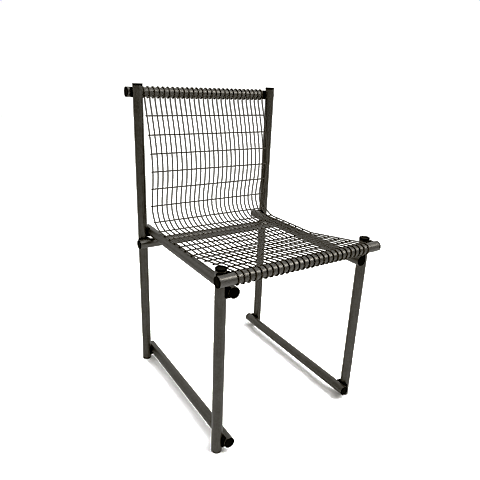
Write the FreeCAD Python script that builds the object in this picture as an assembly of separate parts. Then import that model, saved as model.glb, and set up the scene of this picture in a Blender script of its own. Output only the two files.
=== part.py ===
import FreeCAD, Part
import os
import math

os.makedirs("parts", exist_ok=True)
V = FreeCAD.Vector

# ---------------------------------------------------------------- dimensions, mm
# Frame: X across the chair, front faces -Y, Z up, floor at z = 0.
tube_od = 25.0            # every frame tube
tube_wall = 1.5
lap = 22.0                # between the axes of two lapped tubes
leg_half_x = 207.0        # leg and upright axes, half spacing across
leg_half_y = 216.5        # leg and upright axes, half spacing front to back
upright_top = 805.0       # rear uprights with their caps
front_leg_top = 465.0     # front legs with their caps
z_floor_rail = 27.0
z_seat_rail = 411.8
z_front_tube = 446.0
z_rear_tube = 383.0
z_top_tube = 783.6
out_front_tube = 23.0     # tube ends beyond the leg axes, caps included
out_rear_tube = 21.0
out_top_tube = 24.0
out_seat_front = 20.5
out_seat_rear = 20.5
out_floor_front = 22.5
out_floor_rear = 20.5

cap_head = 2.5            # end cap thickness outside the tube
cap_head_leg = 5.0        # the two front leg caps and the two upright caps
cap_dish_d = 18.0         # shallow dish in the top of those four
cap_dish_h = 0.8
foot_head = 1.5
cap_stem = 7.0
cap_edge = 0.5
stem_clear = 0.1

web = 0.8                 # saddle material between a leg and the dent pressed for it
saddle_len = 32.0         # along the horizontal tube
saddle_high = 25.0        # along the leg
saddle_thick = 10.0       # before the two tube seats are cut
saddle_clear = 0.05

screw_d = 6.0
screw_hole = 6.4
screw_head_d = 10.0
screw_head_h = 3.0
insert_d = 9.0
insert_hole = 9.1
insert_bore = 6.1

wire_d = 3.0
wire_count = 27
wire_pitch = 14.3
wire_clear = 0.05         # between crossing wires, and wire to tube
cross_overhang = 2.5      # cross wires beyond the outermost long wires
kink_y = -45.3            # the seat turns up towards the front tube here
kink_round = 60.0
flat_y = 127.7            # the flat of the seat starts here
hook_top_end = -132.0     # tip of the wrap on the top tube, degrees
hook_front_end = 322.0    # tip of the wrap on the front tube, degrees
# back profile of the long wires, (y, z), top to bottom
back_pts = [(224.6, 772.0), (222.4, 758.9), (217.3, 743.9), (209.4, 719.8), (197.3, 678.9),
            (186.3, 631.1), (181.6, 583.8), (185.9, 536.0), (192.0, 494.8),
            (189.5, 470.0), (178.6, 450.7), (162.6, 437.8), (144.7, 430.9)]
# cross wires: height on the back, then y on the seat
cross_back_z = [726.6, 678.9, 631.1, 583.8, 536.0, 487.3, 447.8]
cross_seat_y = [145.7, 113.2, 82.7, 52.7, 22.7, -8.3, -42.3, -76.3, -111.8, -149.3, -187.9, -224.9]

r_o = tube_od / 2.0
r_i = r_o - tube_wall
r_dent = r_o + web + 2 * saddle_clear    # the dent follows the leg at this radius
rail_x = leg_half_x - lap
y_front_tube = -(leg_half_y + lap)
y_rear_tube = leg_half_y - lap
y_top_tube = leg_half_y + lap
wrap_r = r_o + wire_d / 2.0 + wire_clear
z_wire_seat = z_seat_rail + r_o + wire_d * 1.5 + 2 * wire_clear
X, Y, Z = V(1, 0, 0), V(0, 1, 0), V(0, 0, 1)


def save(name, shape):
    shape.exportStep("parts/" + name + ".step")
    print(name, len(shape.Solids), shape.isValid(), round(sum(s.Volume for s in shape.Solids), 1))


def cyl(r, p, d, length):
    return Part.makeCylinder(r, length, p, d)


# ---------------------------------------------------------------- joints
# Each joint: corner of the frame, centre between the two axes, direction from
# the horizontal tube to the leg, and direction of the horizontal tube.
joints = []
for sx, sn in ((-1, "left"), (1, "right")):
    for sy, fn in ((-1, "front"), (1, "rear")):
        mid_x = sx * (leg_half_x - lap / 2.0)
        leg = ("front_" + sn + "_leg") if sy < 0 else ("rear_" + sn + "_upright")
        joints.append(("saddle_floor_" + fn + "_" + sn, leg, sn + "_floor_rail",
                       V(mid_x, sy * leg_half_y, z_floor_rail), V(sx, 0, 0), Y))
        joints.append(("saddle_seat_" + fn + "_" + sn, leg, sn + "_seat_rail",
                       V(mid_x, sy * leg_half_y, z_seat_rail), V(sx, 0, 0), Y))
    joints.append(("saddle_front_tube_" + sn, "front_" + sn + "_leg", "front_seat_tube",
                   V(sx * leg_half_x, -(leg_half_y + lap / 2.0), z_front_tube), Y, X))
    joints.append(("saddle_rear_tube_" + sn, "rear_" + sn + "_upright", "rear_cross_tube",
                   V(sx * leg_half_x, leg_half_y - lap / 2.0, z_rear_tube), Y, X))
    joints.append(("saddle_top_tube_" + sn, "rear_" + sn + "_upright", "top_back_tube",
                   V(sx * leg_half_x, leg_half_y + lap / 2.0, z_top_tube), V(0, -1, 0), X))

# ---------------------------------------------------------------- tubes
# name: (start of the capped length, direction, capped length, cap heads at start and end)
tubes = {}
for sx, sn in ((-1, "left"), (1, "right")):
    tubes["rear_" + sn + "_upright"] = (V(sx * leg_half_x, leg_half_y, 0), Z, upright_top,
                                        foot_head, cap_head_leg)
    tubes["front_" + sn + "_leg"] = (V(sx * leg_half_x, -leg_half_y, 0), Z, front_leg_top,
                                     foot_head, cap_head_leg)
    tubes[sn + "_seat_rail"] = (V(sx * rail_x, -leg_half_y - out_seat_front, z_seat_rail), Y,
                                2 * leg_half_y + out_seat_front + out_seat_rear, cap_head, cap_head)
    tubes[sn + "_floor_rail"] = (V(sx * rail_x, -leg_half_y - out_floor_front, z_floor_rail), Y,
                                 2 * leg_half_y + out_floor_front + out_floor_rear, cap_head, cap_head)
tubes["front_seat_tube"] = (V(-leg_half_x - out_front_tube, y_front_tube, z_front_tube), X,
                            2 * (leg_half_x + out_front_tube), cap_head, cap_head)
tubes["rear_cross_tube"] = (V(-leg_half_x - out_rear_tube, y_rear_tube, z_rear_tube), X,
                            2 * (leg_half_x + out_rear_tube), cap_head, cap_head)
tubes["top_back_tube"] = (V(-leg_half_x - out_top_tube, y_top_tube, z_top_tube), X,
                          2 * (leg_half_x + out_top_tube), cap_head, cap_head)

cap_names = {
    "rear_left_upright": ("foot_rear_left", "cap_upright_left"),
    "rear_right_upright": ("foot_rear_right", "cap_upright_right"),
    "front_left_leg": ("foot_front_left", "cap_front_leg_left"),
    "front_right_leg": ("foot_front_right", "cap_front_leg_right"),
    "left_seat_rail": ("cap_seat_rail_left_front", "cap_seat_rail_left_rear"),
    "right_seat_rail": ("cap_seat_rail_right_front", "cap_seat_rail_right_rear"),
    "left_floor_rail": ("cap_floor_rail_left_front", "cap_floor_rail_left_rear"),
    "right_floor_rail": ("cap_floor_rail_right_front", "cap_floor_rail_right_rear"),
    "front_seat_tube": ("cap_front_tube_left", "cap_front_tube_right"),
    "rear_cross_tube": ("cap_rear_tube_left", "cap_rear_tube_right"),
    "top_back_tube": ("cap_top_tube_left", "cap_top_tube_right"),
}


def end_cap(face, inward, head, dish=False):
    """Cap with its outer face centre at face; inward points into the tube."""
    disc = cyl(r_o, face, inward, head)
    outer = [e for e in disc.Edges if e.Closed and (e.CenterOfMass - face).Length < 0.01]
    disc = disc.makeFillet(cap_edge, outer)
    if dish:
        disc = disc.cut(cyl(cap_dish_d / 2.0, face, inward, cap_dish_h))
    inner = face + inward * head
    stem = cyl(r_i - stem_clear, inner, inward, cap_stem).cut(
        cyl(r_i - stem_clear - 1.6, inner + inward * 0.4, inward, cap_stem))
    return disc.fuse(stem).removeSplitter()


for name in sorted(tubes):
    start, d, length, head_a, head_b = tubes[name]
    p0 = start + d * head_a
    solid = cyl(r_o, p0, d, length - head_a - head_b)
    body = solid.cut(cyl(r_i, p0 - d, d, length - head_a - head_b + 2))
    for _, leg, rail, mid, n, _along in joints:
        if rail == name:      # dent pressed into the horizontal tube so that the leg nests in it
            axis = mid + n * (lap / 2) - Z * 40
            hollow = cyl(r_dent, axis, Z, 80)
            wall = cyl(r_dent + tube_wall, axis, Z, 80).cut(hollow).common(solid)
            body = body.cut(hollow).fuse(wall).removeSplitter()
            body = body.cut(cyl(screw_hole / 2, mid - n * (lap / 2), n, lap / 2))
        if leg == name:       # seat of the threaded insert
            body = body.cut(cyl(insert_hole / 2, mid - n * 3, n, lap / 2 + 3))
    save(name, body)
    ca, cb = cap_names[name]
    save(ca, end_cap(start, d, head_a))
    save(cb, end_cap(start + d * length, d * -1, head_b, head_b == cap_head_leg))

# ---------------------------------------------------------------- saddles, screws, inserts
screws = []
inserts = []
for name, leg, rail, mid, n, along in joints:
    if along is Y:
        box = Part.makeBox(saddle_thick, saddle_len, saddle_high,
                           mid - V(saddle_thick / 2, saddle_len / 2, saddle_high / 2))
    else:
        box = Part.makeBox(saddle_len, saddle_thick, saddle_high,
                           mid - V(saddle_len / 2, saddle_thick / 2, saddle_high / 2))
    edges = [e for e in box.Edges if abs(e.tangentAt(e.FirstParameter).dot(n)) > 0.99]
    box = box.makeFillet(3.0, edges)
    leg_axis = mid + n * (lap / 2)
    rail_axis = mid - n * (lap / 2)
    box = box.cut(cyl(r_o + saddle_clear, leg_axis - Z * 100, Z, 200))
    seat_cut = cyl(r_o + saddle_clear, rail_axis - along * 100, along, 200)
    box = box.cut(seat_cut.cut(cyl(r_o + saddle_clear + web, leg_axis - Z * 100, Z, 200)))
    box = box.cut(cyl(screw_hole / 2, mid - n * 10, n, 20))
    save(name, box)
    # button screw inside the horizontal tube, insert inside the leg
    seat = lap / 2 - r_dent - tube_wall - 0.05
    head = cyl(screw_head_d / 2, mid + n * (seat - screw_head_h), n, screw_head_h)
    rim = [e for e in head.Edges if e.Closed and (e.CenterOfMass - (mid + n * (seat - screw_head_h))).Length < 0.01]
    head = head.makeFillet(1.2, rim)
    shank = cyl(screw_d / 2, mid + n * (seat - 0.5), n, 8.0 - seat + 0.5)
    socket = Part.makeCylinder(2.0, 1.8, mid + n * (seat - screw_head_h), n)
    screws.append(head.fuse(shank).cut(socket).removeSplitter())
    ins = cyl(insert_d / 2, mid - n * 0.5, n, 8.0).cut(cyl(insert_bore / 2, mid - n * 3, n, 14.0))
    inserts.append(ins)
save("joint_screws", Part.makeCompound(screws))
save("joint_inserts", Part.makeCompound(inserts))

# ---------------------------------------------------------------- mesh panel
def on_circle(cy, cz, deg):
    a = math.radians(deg)
    return V(0, cy + wrap_r * math.cos(a), cz + wrap_r * math.sin(a))


def arc(cy, cz, deg0, deg1):
    return Part.Arc(on_circle(cy, cz, deg0), on_circle(cy, cz, (deg0 + deg1) / 2.0),
                    on_circle(cy, cz, deg1)).toShape()


def spline_slopes(t, f, s0, s1):
    """First derivatives of the clamped cubic spline through f at t."""
    n = len(t)
    a, b, c, d = [0.0] * n, [1.0] * n, [0.0] * n, [0.0] * n
    d[0], d[-1] = s0, s1
    for k in range(1, n - 1):
        h0, h1 = t[k] - t[k - 1], t[k + 1] - t[k]
        a[k], b[k], c[k] = h1, 2 * (h0 + h1), h0
        d[k] = 3 * (h1 * (f[k] - f[k - 1]) / h0 + h0 * (f[k + 1] - f[k]) / h1)
    for k in range(1, n):
        w = a[k] / b[k - 1]
        b[k] -= w * c[k - 1]
        d[k] -= w * d[k - 1]
    m = [0.0] * n
    m[-1] = d[-1] / b[-1]
    for k in range(n - 2, -1, -1):
        m[k] = (d[k] - c[k] * m[k + 1]) / b[k]
    return m


path = [arc(y_top_tube, z_top_tube, hook_top_end, 180.0)]
# back, from the top tube down into the seat
pts = [V(0, y_top_tube - wrap_r, z_top_tube)] + [V(0, a, b) for a, b in back_pts] + [V(0, flat_y, z_wire_seat)]
t = [0.0]
for k in range(1, len(pts)):
    t.append(t[-1] + (pts[k] - pts[k - 1]).Length)
my = spline_slopes(t, [p.y for p in pts], 0.0, -1.0)
mz = spline_slopes(t, [p.z for p in pts], -1.0, 0.0)
for k in range(len(pts) - 1):
    h = (t[k + 1] - t[k]) / 3.0
    bez = Part.BezierCurve()
    bez.setPoles([pts[k], pts[k] + V(0, my[k], mz[k]) * h,
                  pts[k + 1] - V(0, my[k + 1], mz[k + 1]) * h, pts[k + 1]])
    path.append(bez.toShape())
# flat, kink and rise
dy, dz = y_front_tube - kink_y, z_front_tube - z_wire_seat
dist = math.hypot(dy, dz)
up = math.atan2(dz, -dy) + math.asin(wrap_r / dist)      # slope of the rise
touch_deg = 90.0 - math.degrees(up)                      # where it meets the tube
t_len = kink_round * math.tan(up / 2.0)
kink = V(0, kink_y, z_wire_seat)
kink_a = kink + V(0, t_len, 0)
kink_b = kink + V(0, -math.cos(up), math.sin(up)) * t_len
kink_m = kink_a + V(0, -kink_round * math.sin(up / 2), kink_round * (1 - math.cos(up / 2)))
path.append(Part.makeLine(pts[-1], kink_a))
path.append(Part.Arc(kink_a, kink_m, kink_b).toShape())
path.append(Part.makeLine(kink_b, on_circle(y_front_tube, z_front_tube, touch_deg)))
path.append(arc(y_front_tube, z_front_tube, touch_deg, hook_front_end))

spine = Part.Wire(path)
start = on_circle(y_top_tube, z_top_tube, hook_top_end)
a0 = math.radians(hook_top_end)
ring = Part.Wire([Part.makeCircle(wire_d / 2.0, start, V(0, -math.sin(a0), math.cos(a0)))])
sweep = Part.BRepOffsetAPI.MakePipeShell(spine)
sweep.setBiNormalMode(V(1, 0, 0))
sweep.add(ring, False, False)
sweep.build()
sweep.makeSolid()
one = sweep.shape().Solids[0]
if one.Volume < 0:
    one.reverse()
print("long wire length", round(spine.Length, 1), "volume", round(one.Volume, 1),
      "expected", round(math.pi * wire_d ** 2 / 4 * spine.Length, 1), one.isValid(), len(one.Faces))
half = (wire_count - 1) / 2.0 * wire_pitch
longs = []
for i in range(wire_count):
    w = one.copy()
    w.translate(V(-half + i * wire_pitch, 0, 0))
    longs.append(w)
save("mesh_long_wires", Part.makeCompound(longs))

# cross wires lie on the far side of the long wires from the sitter
step = wire_d + wire_clear
run = []
for e in path[1:-1]:
    run += list(e.discretize(Number=max(12, int(e.Length / 0.25))))[:-1]


def cross_at(i):
    p = run[i]
    t = (run[i + 1] - run[i - 1]).normalize()
    nrm = V(0, -t.z, t.y)            # away from the sitter
    c = p + nrm * step
    length = 2 * (half + cross_overhang)
    return cyl(wire_d / 2.0, V(-length / 2, c.y, c.z), X, length), c


crosses = []
for z in cross_back_z:
    i = min(range(2, len(run) - 2), key=lambda k: abs(run[k].z - z) + (0 if run[k].y > 165 else 1e3))
    s, c = cross_at(i)
    crosses.append(s)
    print("cross back", round(run[i].y, 1), round(run[i].z, 1), "->", round(c.y, 1), round(c.z, 1))
for y in cross_seat_y:
    i = min(range(2, len(run) - 2), key=lambda k: abs(run[k].y - y) + (0 if run[k].z < 465 else 1e3))
    s, c = cross_at(i)
    crosses.append(s)
    print("cross seat", round(run[i].y, 1), round(run[i].z, 1), "->", round(c.y, 1), round(c.z, 1))
save("mesh_cross_wires", Part.makeCompound(crosses))
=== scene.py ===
import bpy
import bmesh
import math
import random
from mathutils import Vector, Matrix, noise


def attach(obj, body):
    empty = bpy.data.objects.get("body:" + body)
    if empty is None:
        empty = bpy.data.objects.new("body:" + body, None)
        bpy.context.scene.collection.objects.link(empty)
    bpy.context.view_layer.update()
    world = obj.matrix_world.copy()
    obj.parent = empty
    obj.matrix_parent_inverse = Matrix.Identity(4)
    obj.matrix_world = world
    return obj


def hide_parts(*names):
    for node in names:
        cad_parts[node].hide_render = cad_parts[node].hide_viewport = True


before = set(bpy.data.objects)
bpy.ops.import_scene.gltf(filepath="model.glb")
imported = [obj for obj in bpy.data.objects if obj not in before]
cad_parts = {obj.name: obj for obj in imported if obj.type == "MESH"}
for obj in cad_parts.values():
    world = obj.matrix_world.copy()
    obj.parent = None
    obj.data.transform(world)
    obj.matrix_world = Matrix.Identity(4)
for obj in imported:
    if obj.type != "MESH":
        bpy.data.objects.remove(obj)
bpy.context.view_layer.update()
random.seed(4780)
scene = bpy.context.scene

MM = 0.001
# ------------------------------------------------------------ sizes, mm (same as the part)
TUBE_R = 12.5
TUBE_WALL = 1.5
LAP = 22.0
WEB = 0.8
LEG_X = 207.0
LEG_Y = 216.5
UPRIGHT_TOP = 805.0
LEG_TOP = 465.0
Z_FLOOR_RAIL = 27.0
Z_SEAT_RAIL = 411.8
Z_FRONT = 446.0
Z_REAR = 383.0
Z_TOP = 783.6
Y_FRONT = -(LEG_Y + LAP)
Y_REAR = LEG_Y - LAP
Y_TOP = LEG_Y + LAP
WIRE_R = 1.5
WIRE_N = 27
WIRE_PITCH = 14.3
GAP = 0.05
WRAP_R = TUBE_R + WIRE_R + GAP
Z_WIRE = Z_SEAT_RAIL + TUBE_R + 3 * WIRE_R + 2 * GAP
KINK_Y = -45.3
KINK_ROUND = 60.0
FLAT_Y = 127.7
HOOK_TOP = -132.0
HOOK_FRONT = 322.0
BACK = [(224.6, 772.0), (222.4, 758.9), (217.3, 743.9), (209.4, 719.8), (197.3, 678.9),
        (186.3, 631.1), (181.6, 583.8), (185.9, 536.0), (192.0, 494.8),
        (189.5, 470.0), (178.6, 450.7), (162.6, 437.8), (144.7, 430.9)]
CROSS_Z = [726.6, 678.9, 631.1, 583.8, 536.0, 487.3, 447.8]
CROSS_Y = [145.7, 113.2, 82.7, 52.7, 22.7, -8.3, -42.3, -76.3, -111.8, -149.3, -187.9, -224.9]
CROSS_OVER = 2.5
X, Y, Z = Vector((1, 0, 0)), Vector((0, 1, 0)), Vector((0, 0, 1))


# ------------------------------------------------------------ node helpers
def new_mat(name):
    m = bpy.data.materials.new(name)
    m.use_nodes = True
    nt = m.node_tree
    for n in list(nt.nodes):
        nt.nodes.remove(n)
    out = nt.nodes.new("ShaderNodeOutputMaterial")
    bsdf = nt.nodes.new("ShaderNodeBsdfPrincipled")
    nt.links.new(bsdf.outputs["BSDF"], out.inputs["Surface"])
    return m, nt, bsdf


def coords(nt, scale):
    tc = nt.nodes.new("ShaderNodeTexCoord")
    mp = nt.nodes.new("ShaderNodeMapping")
    mp.inputs["Scale"].default_value = scale
    nt.links.new(tc.outputs["Object"], mp.inputs["Vector"])
    return mp.outputs["Vector"]


def noise_tex(nt, vec, scale, detail=4.0, rough=0.55, distortion=0.0):
    n = nt.nodes.new("ShaderNodeTexNoise")
    n.inputs["Scale"].default_value = scale
    n.inputs["Detail"].default_value = detail
    n.inputs["Roughness"].default_value = rough
    n.inputs["Distortion"].default_value = distortion
    nt.links.new(vec, n.inputs["Vector"])
    return n.outputs["Fac"]


def ramp(nt, fac, stops):
    r = nt.nodes.new("ShaderNodeValToRGB")
    e = r.color_ramp.elements
    e[0].position, e[0].color = stops[0][0], (*stops[0][1], 1)
    e[1].position, e[1].color = stops[-1][0], (*stops[-1][1], 1)
    for p, c in stops[1:-1]:
        x = e.new(p)
        x.color = (*c, 1)
    nt.links.new(fac, r.inputs["Fac"])
    return r.outputs["Color"]


def mix(nt, fac, a, b, blend="MIX"):
    m = nt.nodes.new("ShaderNodeMix")
    m.data_type = "RGBA"
    m.blend_type = blend
    for sock, v in ((m.inputs["Factor"], fac), (m.inputs["A"], a), (m.inputs["B"], b)):
        if isinstance(v, bpy.types.NodeSocket):
            nt.links.new(v, sock)
        elif isinstance(v, (int, float)):
            sock.default_value = v
        else:
            sock.default_value = (*v, 1)
    return m.outputs["Result"]


def maths(nt, op, a, b, clamp=False):
    m = nt.nodes.new("ShaderNodeMath")
    m.operation = op
    m.use_clamp = clamp
    for sock, v in ((m.inputs[0], a), (m.inputs[1], b)):
        if isinstance(v, bpy.types.NodeSocket):
            nt.links.new(v, sock)
        else:
            sock.default_value = v
    return m.outputs[0]


def remap(nt, v, a0, a1, b0, b1):
    m = nt.nodes.new("ShaderNodeMapRange")
    m.inputs["From Min"].default_value = a0
    m.inputs["From Max"].default_value = a1
    m.inputs["To Min"].default_value = b0
    m.inputs["To Max"].default_value = b1
    nt.links.new(v, m.inputs["Value"])
    return m.outputs["Result"]


def bump(nt, bsdf, height, distance, strength=1.0, chain=None):
    b = nt.nodes.new("ShaderNodeBump")
    b.inputs["Strength"].default_value = strength
    b.inputs["Distance"].default_value = distance
    nt.links.new(height, b.inputs["Height"])
    if chain is not None:
        nt.links.new(chain, b.inputs["Normal"])
    nt.links.new(b.outputs["Normal"], bsdf.inputs["Normal"])
    return b.outputs["Normal"]


# ------------------------------------------------------------ materials
def gunmetal(name, along, tone=1.0):
    """Dark burnished tube: cloudy tone, fine speckle, and faint marks drawn along the tube. The tone argument
    scales the whole base colour for one tube direction, and that scaling is painted light: raised on the X tubes as
    painted highlight and reflection, lowered on the Y and Z tubes as painted shade.
    """
    m, nt, b = new_mat(name)
    iso = coords(nt, (1, 1, 1))
    drawn = coords(nt, tuple(0.045 if k == along else 1.0 for k in range(3)))
    cloud = noise_tex(nt, iso, 34.0, 5.0, 0.6, 0.4)
    blotch = noise_tex(nt, iso, 150.0, 5.0, 0.65)
    speck = noise_tex(nt, iso, 900.0, 3.0, 0.6)
    streak = noise_tex(nt, drawn, 620.0, 4.0, 0.6)
    # base colour scaled by tone, which holds the painted light or painted shade of this tube direction
    base = ramp(nt, cloud, [(0.30, (0.0470 * tone, 0.0455 * tone, 0.0430 * tone)),
                            (0.52, (0.0587 * tone, 0.0570 * tone, 0.0542 * tone)),
                            (0.74, (0.0730 * tone, 0.0710 * tone, 0.0677 * tone))])
    warm = ramp(nt, blotch, [(0.34, (0.80, 0.79, 0.78)), (0.55, (1.0, 1.0, 1.0)), (0.78, (1.22, 1.21, 1.19))])
    col = mix(nt, 1.0, base, warm, "MULTIPLY")
    marks = ramp(nt, streak, [(0.30, (0.84, 0.84, 0.84)), (0.50, (1.0, 1.0, 1.0)), (0.72, (1.20, 1.19, 1.17))])
    col = mix(nt, 0.7, col, marks, "MULTIPLY")
    pit = ramp(nt, speck, [(0.30, (0.62, 0.60, 0.56)), (0.42, (1.0, 1.0, 1.0)), (0.60, (1.0, 1.0, 1.0)), (0.72, (1.35, 1.33, 1.28))])
    col = mix(nt, 0.7, col, pit, "MULTIPLY")
    nt.links.new(col, b.inputs["Base Color"])
    b.inputs["Metallic"].default_value = 0.9
    r = maths(nt, "ADD", remap(nt, blotch, 0.3, 0.75, 0.31, 0.42), remap(nt, speck, 0.3, 0.7, -0.04, 0.05))
    nt.links.new(r, b.inputs["Roughness"])
    b.inputs["Specular IOR Level"].default_value = 0.5
    n1 = bump(nt, b, streak, 0.00006, 0.5)
    bump(nt, b, speck, 0.00009, 0.6, n1)
    return m


def black_plastic(name, rough=0.46):
    m, nt, b = new_mat(name)
    iso = coords(nt, (1, 1, 1))
    grain = noise_tex(nt, iso, 1500.0, 3.0, 0.6)
    cloud = noise_tex(nt, iso, 90.0, 4.0, 0.6)
    col = ramp(nt, cloud, [(0.30, (0.0010, 0.0010, 0.0009)), (0.75, (0.0024, 0.0023, 0.0022))])
    dust = ramp(nt, grain, [(0.55, (1.0, 1.0, 1.0)), (0.80, (1.7, 1.7, 1.6))])
    nt.links.new(mix(nt, 0.7, col, dust, "MULTIPLY"), b.inputs["Base Color"])
    nt.links.new(remap(nt, cloud, 0.3, 0.75, rough - 0.08, rough + 0.12), b.inputs["Roughness"])
    b.inputs["Specular IOR Level"].default_value = 0.006
    bump(nt, b, grain, 0.00005, 0.5)
    return m


def wire_mat(name):
    """Drawn wire: near-black brown with paler worn patches."""
    m, nt, b = new_mat(name)
    iso = coords(nt, (1, 1, 1))
    patch = noise_tex(nt, iso, 60.0, 5.0, 0.65, 0.6)
    fine = noise_tex(nt, iso, 800.0, 3.0, 0.6)
    col = ramp(nt, patch, [(0.28, (0.0262, 0.0235, 0.0208)), (0.50, (0.0384, 0.0345, 0.0308)), (0.76, (0.0590, 0.0540, 0.0490))])
    spots = ramp(nt, fine, [(0.32, (0.65, 0.63, 0.60)), (0.50, (1.0, 1.0, 1.0)), (0.74, (1.45, 1.38, 1.28))])
    nt.links.new(mix(nt, 0.9, col, spots, "MULTIPLY"), b.inputs["Base Color"])
    b.inputs["Metallic"].default_value = 0.85
    nt.links.new(remap(nt, patch, 0.3, 0.75, 0.36, 0.50), b.inputs["Roughness"])
    b.inputs["Specular IOR Level"].default_value = 0.5
    bump(nt, b, fine, 0.00005, 0.5)
    return m


def weld_mat(name):
    m, nt, b = new_mat(name)
    iso = coords(nt, (1, 1, 1))
    fine = noise_tex(nt, iso, 700.0, 4.0, 0.65)
    col = ramp(nt, fine, [(0.30, (0.010, 0.0085, 0.007)), (0.55, (0.020, 0.0165, 0.0135)), (0.78, (0.036, 0.031, 0.026))])
    nt.links.new(col, b.inputs["Base Color"])
    b.inputs["Metallic"].default_value = 0.3
    nt.links.new(remap(nt, fine, 0.3, 0.7, 0.42, 0.60), b.inputs["Roughness"])
    bump(nt, b, fine, 0.00010, 0.7)
    return m


def zinc(name):
    m, nt, b = new_mat(name)
    iso = coords(nt, (1, 1, 1))
    patch = noise_tex(nt, iso, 250.0, 4.0, 0.6)
    fine = noise_tex(nt, iso, 1400.0, 2.0, 0.5)
    nt.links.new(ramp(nt, patch, [(0.3, (0.36, 0.36, 0.35)), (0.7, (0.58, 0.58, 0.56))]), b.inputs["Base Color"])
    b.inputs["Metallic"].default_value = 0.9
    nt.links.new(remap(nt, patch, 0.3, 0.7, 0.28, 0.45), b.inputs["Roughness"])
    bump(nt, b, fine, 0.00004, 0.5)
    return m


# the same steel on every tube; the tone per direction is painted light: X tubes lighter as painted highlight and
# reflection, Y rails darker and Z legs and uprights darkest as painted shade
M_TUBE = [gunmetal("gunmetal_x_painted_light", 0, 1.31), gunmetal("gunmetal_y_painted_shade", 1, 0.88), gunmetal("gunmetal_z_painted_shade", 2, 0.815)]
M_CAP = black_plastic("black_plastic")
M_WIRE = wire_mat("dark_wire")
M_WELD = weld_mat("weld_spots")
M_ZINC = zinc("zinc_fixing")


# ------------------------------------------------------------ mesh helpers
def finish_mesh(name, verts, faces, mat, smooth=True, replace=(), sharp=math.radians(35)):
    me = bpy.data.meshes.new(name)
    me.from_pydata([tuple(c * MM for c in v) for v in verts], [], faces)
    bm = bmesh.new()
    bm.from_mesh(me)
    bmesh.ops.recalc_face_normals(bm, faces=bm.faces)
    for e in bm.edges:
        if len(e.link_faces) == 2 and e.calc_face_angle(0) > sharp:
            e.smooth = False
    bm.to_mesh(me)
    bm.free()
    for p in me.polygons:
        p.use_smooth = smooth
    me.materials.append(mat)
    ob = bpy.data.objects.new(name, me)
    scene.collection.objects.link(ob)
    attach(ob, "root")
    if replace:
        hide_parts(*replace)
    return ob


def basis(axis):
    a = Vector(axis).normalized()
    ref = Z if abs(a.dot(Z)) < 0.9 else X
    u = (ref - a * ref.dot(a)).normalized()
    return a, u, a.cross(u)


def revolve(origin, axis, profile, seg, closed):
    """Turns (distance along axis, radius) points about the axis. A radius of 0 closes the end."""
    a, u, w = basis(axis)
    o = Vector(origin)
    verts, rings = [], []
    for d, r in profile:
        if r < 1e-6:
            rings.append([len(verts)])
            verts.append(tuple(o + a * d))
        else:
            ring = []
            for k in range(seg):
                t = 2 * math.pi * k / seg
                ring.append(len(verts))
                verts.append(tuple(o + a * d + (u * math.cos(t) + w * math.sin(t)) * r))
            rings.append(ring)
    faces = []
    pairs = list(zip(rings, rings[1:]))
    if closed:
        pairs.append((rings[-1], rings[0]))
    for p, q in pairs:
        for k in range(seg):
            k2 = (k + 1) % seg
            if len(p) == 1 and len(q) == 1:
                continue
            if len(p) == 1:
                faces.append((p[0], q[k], q[k2]))
            elif len(q) == 1:
                faces.append((p[k], q[0], p[k2]))
            else:
                faces.append((p[k], q[k], q[k2], p[k2]))
    return verts, faces


def corner(cd, cr, rad, a0, a1, n=5):
    """Quarter-round points about (cd, cr) in the (distance, radius) plane."""
    return [(cd + rad * math.cos(math.radians(a0 + (a1 - a0) * k / n)),
             cr + rad * math.sin(math.radians(a0 + (a1 - a0) * k / n))) for k in range(n + 1)]


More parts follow.
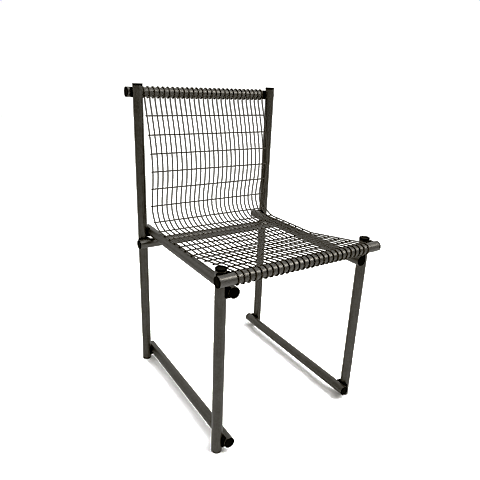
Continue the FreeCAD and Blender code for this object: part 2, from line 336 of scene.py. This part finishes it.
# ------------------------------------------------------------ tubes and caps
def tube(name, start, axis, length, head_a, head_b, mat, cap_a, cap_b, dents=()):
    """dents: (distance of the leg's axis from start, direction from the tube to the leg)."""
    ln = length - head_a - head_b
    p0 = Vector(start) + Vector(axis) * head_a
    ro, ri, e = TUBE_R, TUBE_R - TUBE_WALL, 0.35
    dist = [(ln) * k / max(2, int(ln / 16)) for k in range(1, max(2, int(ln / 16)))]
    if dents:
        near = [d - head_a for d, _n in dents]
        dist = [d for d in dist if all(abs(d - c) > 14 for c in near)]
        for c in near:
            dist += [c + k for k in [x * 0.75 for x in range(-18, 19)] if e < c + k < ln - e]
        dist = sorted(set(round(d, 4) for d in dist))
    prof = [(0.0, ri), (0.0, ro - e)] + corner(e, ro - e, e, 180, 90)[1:]
    prof += [(d, ro) for d in dist if e < d < ln - e]
    prof += corner(ln - e, ro - e, e, 90, 0) + [(ln, ri)]
    prof += [(d, ri) for d in reversed(dist) if 0.5 < d < ln - 0.5]
    v, f = revolve(p0, axis, prof, 96 if dents else 72, True)
    if dents:
        # the leg's side is pressed in to follow the leg
        out = []
        for q in v:
            q = Vector(q)
            for d, n in dents:
                n = Vector(n)
                c = Vector(start) + Vector(axis) * d + n * LAP
                rel = q - c
                along, depth = rel.dot(Vector(axis)), rel.dot(n)
                inner = (q - p0 - Vector(axis) * (q - p0).dot(Vector(axis))).length < (ro + ri) / 2
                rad = TUBE_R + WEB + 0.1 + (TUBE_WALL if inner else 0.0)
                if abs(along) < rad and depth > -math.sqrt(rad * rad - along * along):
                    q = q + n * (-math.sqrt(rad * rad - along * along) - depth)
            out.append(tuple(q))
        v = out
    finish_mesh(name + "_look", v, f, mat, replace=(name,))
    for cap, face, inward, head in ((cap_a, Vector(start), Vector(axis), head_a),
                                    (cap_b, Vector(start) + Vector(axis) * length, -Vector(axis), head_b)):
        rs, e2 = TUBE_R - TUBE_WALL - 0.1, 0.5
        if head > 4.0:        # leg and upright caps: a shallow dish inside a rim
            prof = [(0.8, 0.0), (0.8, 8.2)] + corner(0.4, 8.2, 0.4, 0, 60, 3)[1:] + [(0.25, 8.85)] + \
                   corner(0.3, 9.5, 0.3, 225, 180, 2) + [(0.0, 9.6), (0.0, TUBE_R - e2)]
        else:
            prof = [(0.0, 0.0), (0.0, 5.0), (0.0, TUBE_R - e2)]
        prof += corner(e2, TUBE_R - e2, e2, 180, 90)[1:]
        prof += [(head - 0.12, TUBE_R), (head, TUBE_R - 0.12), (head, rs),
                 (head + 6.6, rs), (head + 7.0, rs - 0.4),
                 (head + 7.0, rs - 1.6), (head + 0.4, rs - 1.6), (head + 0.4, 0.0)]
        v, f = revolve(face, inward, prof, 72, False)
        finish_mesh(cap + "_look", v, f, M_CAP, replace=(cap,))


rail_x = LEG_X - LAP
HEAD, HEAD_LEG, HEAD_FOOT = 2.5, 5.0, 1.5
for sx, sn in ((-1, "left"), (1, "right")):
    tube("rear_" + sn + "_upright", (sx * LEG_X, LEG_Y, 0), Z, UPRIGHT_TOP, HEAD_FOOT, HEAD_LEG, M_TUBE[2],
         "foot_rear_" + sn, "cap_upright_" + sn)
    tube("front_" + sn + "_leg", (sx * LEG_X, -LEG_Y, 0), Z, LEG_TOP, HEAD_FOOT, HEAD_LEG, M_TUBE[2],
         "foot_front_" + sn, "cap_front_leg_" + sn)
    tube(sn + "_seat_rail", (sx * rail_x, -LEG_Y - 20.5, Z_SEAT_RAIL), Y, 2 * LEG_Y + 41.0, HEAD, HEAD, M_TUBE[1],
         "cap_seat_rail_" + sn + "_front", "cap_seat_rail_" + sn + "_rear",
         [(20.5, (sx, 0, 0)), (2 * LEG_Y + 20.5, (sx, 0, 0))])
    tube(sn + "_floor_rail", (sx * rail_x, -LEG_Y - 22.5, Z_FLOOR_RAIL), Y, 2 * LEG_Y + 43.0, HEAD, HEAD, M_TUBE[1],
         "cap_floor_rail_" + sn + "_front", "cap_floor_rail_" + sn + "_rear",
         [(22.5, (sx, 0, 0)), (2 * LEG_Y + 22.5, (sx, 0, 0))])
tube("front_seat_tube", (-LEG_X - 23.0, Y_FRONT, Z_FRONT), X, 2 * (LEG_X + 23.0), HEAD, HEAD, M_TUBE[0],
     "cap_front_tube_left", "cap_front_tube_right", [(23.0, (0, 1, 0)), (2 * LEG_X + 23.0, (0, 1, 0))])
tube("rear_cross_tube", (-LEG_X - 21.0, Y_REAR, Z_REAR), X, 2 * (LEG_X + 21.0), HEAD, HEAD, M_TUBE[0],
     "cap_rear_tube_left", "cap_rear_tube_right", [(21.0, (0, 1, 0)), (2 * LEG_X + 21.0, (0, 1, 0))])
tube("top_back_tube", (-LEG_X - 24.0, Y_TOP, Z_TOP), X, 2 * (LEG_X + 24.0), HEAD, HEAD, M_TUBE[0],
     "cap_top_tube_left", "cap_top_tube_right", [(24.0, (0, -1, 0)), (2 * LEG_X + 24.0, (0, -1, 0))])

# saddles, screws and inserts show their own solids
for name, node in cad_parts.items():
    if name.startswith("saddle_") or name.startswith("joint_"):
        node.data.materials.clear()
        node.data.materials.append(M_CAP if name.startswith("saddle_") else M_ZINC)
        for p in node.data.polygons:
            p.material_index = 0
        if name.startswith("saddle_"):
            bev = node.modifiers.new("soft_edges", "BEVEL")
            bev.width = 0.0005
            bev.segments = 2
            bev.limit_method = "ANGLE"
            bev.angle_limit = math.radians(40)


# ------------------------------------------------------------ mesh panel
def arc_pts(cy, cz, r, a0, a1, step=6.0):
    n = max(2, int(abs(a1 - a0) / step))
    return [(cy + r * math.cos(math.radians(a0 + (a1 - a0) * k / n)),
             cz + r * math.sin(math.radians(a0 + (a1 - a0) * k / n))) for k in range(n + 1)]


def spline_slopes(t, f, s0, s1):
    n = len(t)
    a, b, c, d = [0.0] * n, [1.0] * n, [0.0] * n, [0.0] * n
    d[0], d[-1] = s0, s1
    for k in range(1, n - 1):
        h0, h1 = t[k] - t[k - 1], t[k + 1] - t[k]
        a[k], b[k], c[k] = h1, 2 * (h0 + h1), h0
        d[k] = 3 * (h1 * (f[k] - f[k - 1]) / h0 + h0 * (f[k + 1] - f[k]) / h1)
    for k in range(1, n):
        w = a[k] / b[k - 1]
        b[k] -= w * c[k - 1]
        d[k] -= w * d[k - 1]
    m = [0.0] * n
    m[-1] = d[-1] / b[-1]
    for k in range(n - 2, -1, -1):
        m[k] = (d[k] - c[k] * m[k + 1]) / b[k]
    return m


def panel_path():
    """(y, z) points of a long wire from its tip on the top tube to its tip on the front tube."""
    top = arc_pts(Y_TOP, Z_TOP, WRAP_R, HOOK_TOP, 180.0)
    pts = [(Y_TOP - WRAP_R, Z_TOP)] + BACK + [(FLAT_Y, Z_WIRE)]
    t = [0.0]
    for p, q in zip(pts, pts[1:]):
        t.append(t[-1] + math.dist(p, q))
    my = spline_slopes(t, [p[0] for p in pts], 0.0, -1.0)
    mz = spline_slopes(t, [p[1] for p in pts], -1.0, 0.0)
    back = []
    for k in range(len(pts) - 1):
        h = t[k + 1] - t[k]
        n = max(3, int(h / 2.5))
        for i in range(n):
            s = i / n
            h00, h10 = 2 * s ** 3 - 3 * s ** 2 + 1, s ** 3 - 2 * s ** 2 + s
            h01, h11 = -2 * s ** 3 + 3 * s ** 2, s ** 3 - s ** 2
            back.append((h00 * pts[k][0] + h10 * h * my[k] + h01 * pts[k + 1][0] + h11 * h * my[k + 1],
                         h00 * pts[k][1] + h10 * h * mz[k] + h01 * pts[k + 1][1] + h11 * h * mz[k + 1]))
    dy, dz = Y_FRONT - KINK_Y, Z_FRONT - Z_WIRE
    up = math.atan2(dz, -dy) + math.asin(WRAP_R / math.hypot(dy, dz))
    touch = 90.0 - math.degrees(up)
    tl = KINK_ROUND * math.tan(up / 2)
    flat = []
    y0, y1 = FLAT_Y, KINK_Y + tl
    n = int((y0 - y1) / 3.0)
    flat = [(y0 + (y1 - y0) * k / n, Z_WIRE) for k in range(n)]
    kink = [(KINK_Y + tl - KINK_ROUND * math.sin(up * k / 6), Z_WIRE + KINK_ROUND * (1 - math.cos(up * k / 6)))
            for k in range(6)]
    b = (KINK_Y - math.cos(up) * tl, Z_WIRE + math.sin(up) * tl)
    c = (Y_FRONT + WRAP_R * math.cos(math.radians(touch)), Z_FRONT + WRAP_R * math.sin(math.radians(touch)))
    n = int(math.dist(b, c) / 3.0)
    rise = [(b[0] + (c[0] - b[0]) * k / n, b[1] + (c[1] - b[1]) * k / n) for k in range(n)]
    front = arc_pts(Y_FRONT, Z_FRONT, WRAP_R, touch, HOOK_FRONT)
    run = back + flat + kink + rise
    return top[:-1], run, front


TOP_ARC, RUN, FRONT_ARC = panel_path()
PATH = TOP_ARC + RUN + FRONT_ARC


def tangents(path):
    out = []
    for k in range(len(path)):
        p, q = path[max(0, k - 1)], path[min(len(path) - 1, k + 1)]
        d = math.dist(p, q) or 1.0
        out.append(((q[0] - p[0]) / d, (q[1] - p[1]) / d))
    return out


TAN = tangents(PATH)


def sweep_wire(x, verts, faces, seg=12, wob=0.0, seed=0.0):
    """One long wire at x, with slightly rounded ends, added to verts and faces."""
    rings = []

    def ring(p, tn, r, dx):
        idx = []
        for k in range(seg):
            a = 2 * math.pi * k / seg
            n = (-tn[1] * math.sin(a) * r, tn[0] * math.sin(a) * r)
            idx.append(len(verts))
            verts.append((x + dx + r * math.cos(a), p[0] + n[0], p[1] + n[1]))
        return idx

    last = len(PATH) - 1
    for k, (p, tn) in enumerate(zip(PATH, TAN)):
        dx = wob * noise.noise(Vector((seed, p[0] * 0.02, p[1] * 0.02)))
        if k == 0:
            rings.append(ring(p, tn, WIRE_R * 0.72, dx))
            rings.append(ring((p[0] + tn[0] * 0.3, p[1] + tn[1] * 0.3), tn, WIRE_R, dx))
        elif k == last:
            rings.append(ring((p[0] - tn[0] * 0.3, p[1] - tn[1] * 0.3), tn, WIRE_R, dx))
            rings.append(ring(p, tn, WIRE_R * 0.72, dx))
        else:
            rings.append(ring(p, tn, WIRE_R, dx))
    for p, q in zip(rings, rings[1:]):
        for k in range(seg):
            k2 = (k + 1) % seg
            faces.append((p[k], q[k], q[k2], p[k2]))
    faces.append(tuple(rings[0][::-1]))
    faces.append(tuple(rings[-1]))


half = (WIRE_N - 1) / 2 * WIRE_PITCH
xs = [-half + i * WIRE_PITCH for i in range(WIRE_N)]
verts, faces = [], []
for i, x in enumerate(xs):
    sweep_wire(x, verts, faces, 12, 0.25, i * 3.7)
finish_mesh("mesh_long_wires_look", verts, faces, M_WIRE, replace=("mesh_long_wires",))

# cross wires on the side away from the sitter
run_t = tangents(RUN)
step = 2 * WIRE_R + GAP


def cross_index(z=None, y=None):
    best, bi = 1e9, 0
    for k in range(2, len(RUN) - 2):
        ry, rz = RUN[k]
        if z is not None and ry < 165:
            continue
        if y is not None and rz > 465:
            continue
        e = abs(rz - z) if z is not None else abs(ry - y)
        if e < best:
            best, bi = e, k
    return bi


rows = []
for z in CROSS_Z:
    k = cross_index(z=z)
    k2 = k + 1 if (RUN[k][1] - z) > 0 else k - 1
    f = (RUN[k][1] - z) / ((RUN[k][1] - RUN[k2][1]) or 1)
    rows.append(((RUN[k][0] + (RUN[k2][0] - RUN[k][0]) * f, z), run_t[k]))
for y in CROSS_Y:
    k = cross_index(y=y)
    k2 = k + 1 if (RUN[k][0] - y) > 0 else k - 1
    f = (RUN[k][0] - y) / ((RUN[k][0] - RUN[k2][0]) or 1)
    rows.append(((y, RUN[k][1] + (RUN[k2][1] - RUN[k][1]) * f), run_t[k]))

verts, faces = [], []
wverts, wfaces = [], []
for j, (p, tn) in enumerate(rows):
    n = (-tn[1], tn[0])
    c = (p[0] + n[0] * step, p[1] + n[1] * step)
    L = 2 * (half + CROSS_OVER)
    e = 0.35
    prof = [(0, 0), (0, WIRE_R * 0.75), (e, WIRE_R)] + [(L * k / 24, WIRE_R) for k in range(1, 24)] + \
           [(L - e, WIRE_R), (L, WIRE_R * 0.75), (L, 0)]
    v, f = revolve((-L / 2, c[0], c[1]), X, prof, 12, False)
    o = len(verts)
    verts += v
    faces += [tuple(i + o for i in q) for q in f]
    # weld spots where the wires cross
    w = (p[0] + n[0] * step / 2, p[1] + n[1] * step / 2)
    for i, x in enumerate(xs):
        s = 0.9 + 0.2 * random.random()
        ru, rn, rx = 1.75 * s, 1.2, 1.75 * s
        o = len(wverts)
        ring_n, lat = 8, (-60, -25, 10, 45, 75)
        idx = []
        wverts.append((x, w[0] - n[0] * rn, w[1] - n[1] * rn))
        for la in lat:
            ca, sa = math.cos(math.radians(la)), math.sin(math.radians(la))
            rr = []
            for k in range(ring_n):
                a = 2 * math.pi * (k + 0.5) / ring_n
                du, dx = ru * ca * math.cos(a), rx * ca * math.sin(a)
                rr.append(len(wverts))
                wverts.append((x + dx, w[0] + tn[0] * du + n[0] * rn * sa, w[1] + tn[1] * du + n[1] * rn * sa))
            idx.append(rr)
        wverts.append((x, w[0] + n[0] * rn, w[1] + n[1] * rn))
        for k in range(ring_n):
            k2 = (k + 1) % ring_n
            wfaces.append((o, idx[0][k2], idx[0][k]))
            for p0, p1 in zip(idx, idx[1:]):
                wfaces.append((p0[k], p0[k2], p1[k2], p1[k]))
            wfaces.append((len(wverts) - 1, idx[-1][k], idx[-1][k2]))
finish_mesh("mesh_cross_wires_look", verts, faces, M_WIRE, replace=("mesh_cross_wires",))
finish_mesh("mesh_weld_spots", wverts, wfaces, M_WELD, sharp=math.radians(180))

# ------------------------------------------------------------ floor, light, camera
fm, nt, b = new_mat("studio_floor")
iso = coords(nt, (1, 1, 1))
fn = noise_tex(nt, iso, 3.0, 3.0, 0.5)
nt.links.new(ramp(nt, fn, [(0.3, (0.85, 0.85, 0.85)), (0.7, (0.87, 0.87, 0.87))]), b.inputs["Base Color"])
b.inputs["Roughness"].default_value = 0.9
b.inputs["Specular IOR Level"].default_value = 0.1
b.inputs["Emission Color"].default_value = (1, 1, 1, 1)
b.inputs["Emission Strength"].default_value = 0.08
me = bpy.data.meshes.new("floor")
S = 9.0
me.from_pydata([(-S, -S, 0), (S, -S, 0), (S, S, 0), (-S, S, 0)], [], [(0, 1, 2, 3)])
me.materials.append(fm)
floor = bpy.data.objects.new("floor", me)
scene.collection.objects.link(floor)

world = bpy.data.worlds.new("studio")
scene.world = world
world.use_nodes = True
wnt = world.node_tree
for n in list(wnt.nodes):
    wnt.nodes.remove(n)
wout = wnt.nodes.new("ShaderNodeOutputWorld")
bg = wnt.nodes.new("ShaderNodeBackground")
tc = wnt.nodes.new("ShaderNodeTexCoord")


def lobe(direction, lo, hi, amount):
    """amount inside the cone about direction, fading to 0 between the two cosines."""
    d = wnt.nodes.new("ShaderNodeVectorMath")
    d.operation = "DOT_PRODUCT"
    d.inputs[1].default_value = Vector(direction).normalized()
    wnt.links.new(tc.outputs["Generated"], d.inputs[0])
    mr = wnt.nodes.new("ShaderNodeMapRange")
    mr.interpolation_type = "SMOOTHSTEP"
    mr.inputs["From Min"].default_value = lo
    mr.inputs["From Max"].default_value = hi
    mr.inputs["To Min"].default_value = 0.0
    mr.inputs["To Max"].default_value = amount
    wnt.links.new(d.outputs["Value"], mr.inputs["Value"])
    return mr.outputs["Result"]


BASE, BACKDROP, BAND = 0.10, 0.94, 0.80
behind = lobe((0.55, 0.835, 0.0), -0.10, 0.45, 1.0)
band = maths(wnt, "MULTIPLY", maths(wnt, "SUBTRACT", 1.0, lobe((0, 0, 1), 0.12, 0.40, 1.0)), BAND)
total = maths(wnt, "MULTIPLY", maths(wnt, "MAXIMUM", behind, band), BACKDROP)
total = maths(wnt, "ADD", total, BASE)
wnt.links.new(total, bg.inputs["Strength"])
bg.inputs["Color"].default_value = (1, 1, 1, 1)
wnt.links.new(bg.outputs["Background"], wout.inputs["Surface"])


def area(name, loc, aim, size, size_y, radiance, spread=180.0):
    """aim is the point lit; size_y runs in the plane of aim and the vertical. Power follows from the radiance."""
    ld = bpy.data.lights.new(name, "AREA")
    ld.shape = "RECTANGLE"
    ld.size, ld.size_y = size, size_y
    ld.energy = radiance * math.pi * size * size_y
    ld.spread = math.radians(spread)
    ob = bpy.data.objects.new(name, ld)
    ob.location = loc
    ob.rotation_euler = (Vector(aim) - Vector(loc)).to_track_quat("-Z", "Y").to_euler()
    scene.collection.objects.link(ob)
    return ob


area("key_softbox", (1.55, -1.55, 2.38), (-0.10, -0.37, 0.15), 1.35, 2.1, 2.75, 80.0)
area("overhead_softbox", (-0.22, -0.16, 2.20), (-0.22, -0.15, 0.0), 1.2, 1.2, 0.68, 50.0)
panel = area("ceiling_panel", (4.42, 6.68, 2.7), (4.42, 6.68, 0), 20.0, 19.2, 0.95)
panel.rotation_euler = (0, 0, math.radians(-33.426))

cam_data = bpy.data.cameras.new("camera")
cam = bpy.data.objects.new("camera", cam_data)
scene.collection.objects.link(cam)
scene.camera = cam
az, el, roll, focal = math.radians(-33.426), math.radians(19.457), math.radians(2.29), 447.44
back = Vector((math.sin(az) * math.cos(el), -math.cos(az) * math.cos(el), math.sin(el)))
right = Vector((math.cos(az), math.sin(az), 0))
up = back.cross(right)
r2 = right * math.cos(roll) + up * math.sin(roll)
u2 = up * math.cos(roll) - right * math.sin(roll)
m = Matrix.Identity(4)
for i in range(3):
    m[i][0], m[i][1], m[i][2] = r2[i], u2[i], back[i]
m[0][3], m[1][3], m[2][3] = -0.63399, -0.92817, 0.81835
cam.matrix_world = m
cam_data.sensor_fit = "HORIZONTAL"
cam_data.sensor_width = 36.0
cam_data.lens = focal * 36.0 / 480.0
cam_data.dof.use_dof = False
cam_data.clip_start = 0.02
cam_data.clip_end = 60.0

# ------------------------------------------------------------ print: contrast and a little sharpening
scene.view_settings.view_transform = "Standard"
scene.view_settings.look = "None"
scene.use_nodes = True
cnt = scene.node_tree
for n in list(cnt.nodes):
    cnt.nodes.remove(n)
rl = cnt.nodes.new("CompositorNodeRLayers")
comp = cnt.nodes.new("CompositorNodeComposite")
to_print = cnt.nodes.new("CompositorNodeGamma")
to_print.inputs[1].default_value = 1 / 2.2
sharp = cnt.nodes.new("CompositorNodeFilter")
sharp.filter_type = "SHARPEN_DIAMOND"
sharp.inputs["Fac"].default_value = 0.22
tone = cnt.nodes.new("CompositorNodeCurveRGB")
cm = tone.mapping
cm.clip_min_x, cm.clip_min_y, cm.clip_max_x, cm.clip_max_y = 0.0, 0.0, 1.0, 1.0
cm.use_clip = True
cv = cm.curves[3]
PRINT = [(0.0, 0.0), (0.08, 0.05), (0.16, 0.142), (0.26, 0.245), (0.40, 0.34), (0.56, 0.432), (0.75, 0.58), (0.885, 0.755),
         (0.956, 0.875), (1.0, 1.0)]
cv.points[0].location, cv.points[1].location = PRINT[0], PRINT[-1]
for x, y in PRINT[1:-1]:
    cv.points.new(x, y)
# the warm cast of the print: red up and blue down in the mid tones
for k, cast in ((0, [(0.06, 0.063), (0.16, 0.167), (0.30, 0.308), (0.60, 0.607), (0.75, 0.756), (0.87, 0.873)]),
                (2, [(0.06, 0.050), (0.16, 0.142), (0.30, 0.280), (0.60, 0.580), (0.75, 0.734), (0.87, 0.861)])):
    for x, y in cast:
        cm.curves[k].points.new(x, y)
cm.update()
to_light = cnt.nodes.new("CompositorNodeGamma")
to_light.inputs[1].default_value = 2.2
cnt.links.new(rl.outputs["Image"], to_print.inputs[0])
cnt.links.new(to_print.outputs[0], sharp.inputs["Image"])
cnt.links.new(sharp.outputs["Image"], tone.inputs["Image"])
cnt.links.new(tone.outputs["Image"], to_light.inputs[0])
cnt.links.new(to_light.outputs[0], comp.inputs["Image"])
